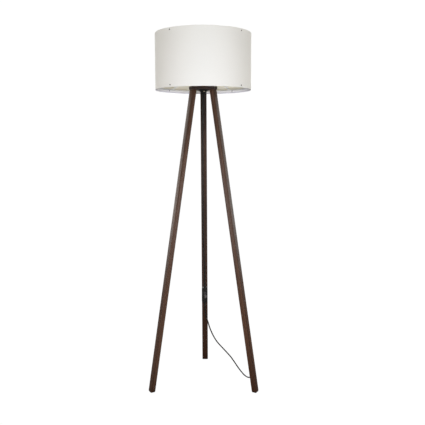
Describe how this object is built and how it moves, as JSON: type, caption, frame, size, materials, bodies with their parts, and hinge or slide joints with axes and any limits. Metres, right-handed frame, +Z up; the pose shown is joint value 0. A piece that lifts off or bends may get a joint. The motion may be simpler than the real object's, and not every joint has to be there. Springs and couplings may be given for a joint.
{
  "type": "tripod floor lamp",
  "caption": "Floor lamp on three splayed wooden legs under a triangular hub, with a riveted drum shade, screw lampholder, bulb, and a mains lead with rocker switch and plug.",
  "frame": {"origin": "centre of the stand's and shade's footprint box, on the floor; the lamp's own axis is 30 mm behind it on the shade's side, at y = -0.0301", "axes": "+Z up; the single rear leg points to +Y and the two front legs to -Y; +X to the right seen from the front"},
  "size_m": [0.445, 0.4402, 1.422],
  "materials": {
    "walnut": "dark walnut, oiled, straight grain along each leg",
    "walnut_hub": "dark walnut, oiled",
    "zinc_steel": "zinc-plated steel",
    "felt": "dark felt",
    "black_moulding": "black moulded plastic, satin gloss",
    "black_rocker": "black moulded plastic, satin gloss",
    "soft_black": "soft black moulded sleeve",
    "cord_black": "black flexible lead sheath, satin",
    "white_moulding": "white thermoplastic",
    "core_ceramic": "off-white glazed ceramic",
    "brass": "plain brass",
    "lead_insulation": "insulated wire",
    "white_metal": "white powder coat",
    "shade_sheet": "off-white matt laminated sheet, slightly translucent",
    "rivet_steel": "grey steel rivet",
    "opal_glass": "opal, satin",
    "cap_metal": "plain",
    "cap_insulator": "black vitreous insulator",
    "pin_metal": "nickel-plated"
  },
  "bodies": {
    "stand": {"hub_plate": "walnut_hub", "leg_front_left": "walnut", "leg_front_right": "walnut", "leg_rear": "walnut", "leg_screws": "zinc_steel", "foot_pads": "felt", "cable_gland": "black_moulding", "gland_strain_relief": "soft_black", "gland_screw": "zinc_steel", "threaded_nipple": "zinc_steel", "nipple_washer": "zinc_steel", "nipple_nut": "zinc_steel", "lampholder_base": "white_moulding", "lampholder_skirt": "white_moulding", "lampholder_core": "core_ceramic", "screw_shell": "brass", "centre_contact": "brass", "holder_leads": "lead_insulation", "switch_cover_front": "black_moulding", "switch_cover_back": "black_moulding", "rocker_axle": "zinc_steel", "switch_spring": "brass", "switch_terminals": "brass", "switch_screws": "zinc_steel", "switch_boots": "soft_black", "cord_upper": "cord_black", "cord_lower": "cord_black", "cord_hank": "cord_black", "cord_tail": "cord_black", "hank_tie": "soft_black", "plug_boot": "soft_black", "plug_body": "black_moulding", "plug_pins": "pin_metal"},
    "shade": {"shade_spider": "white_metal", "shade_top_ring": "white_metal", "shade_drum": "shade_sheet", "shade_seam_strip": "shade_sheet", "shade_rivets_bottom": "rivet_steel", "shade_rivets_top": "rivet_steel", "shade_bottom_ring": "white_metal"},
    "shade_nut": {"shade_nut": "white_moulding"},
    "bulb": {"bulb_globe": "opal_glass", "bulb_cap": "cap_metal", "bulb_insulator": "cap_insulator"},
    "rocker": {"switch_rocker": "black_rocker"}
  },
  "joints": [
    {"name": "shade_swivel", "type": "hinge", "parent": "stand", "child": "shade", "pos_m": [0, -0.03015, 1.26], "axis": [0, 0, 1], "continuous": true},
    {"name": "shade_nut_turn", "type": "hinge", "parent": "stand", "child": "shade_nut", "pos_m": [0, -0.03015, 1.266], "axis": [0, 0, 1], "continuous": true},
    {"name": "bulb_lift", "type": "slide", "parent": "stand", "child": "bulb", "axis": [0, 0, 1], "range_m": [0, 0.06]},
    {"name": "rocker_tilt", "type": "hinge", "parent": "stand", "child": "rocker", "pos_m": [0.00575, -0.03571, 0.3685], "axis": [0.9272, 0.3746, 0], "range_deg": [0, 14]}
  ]
}
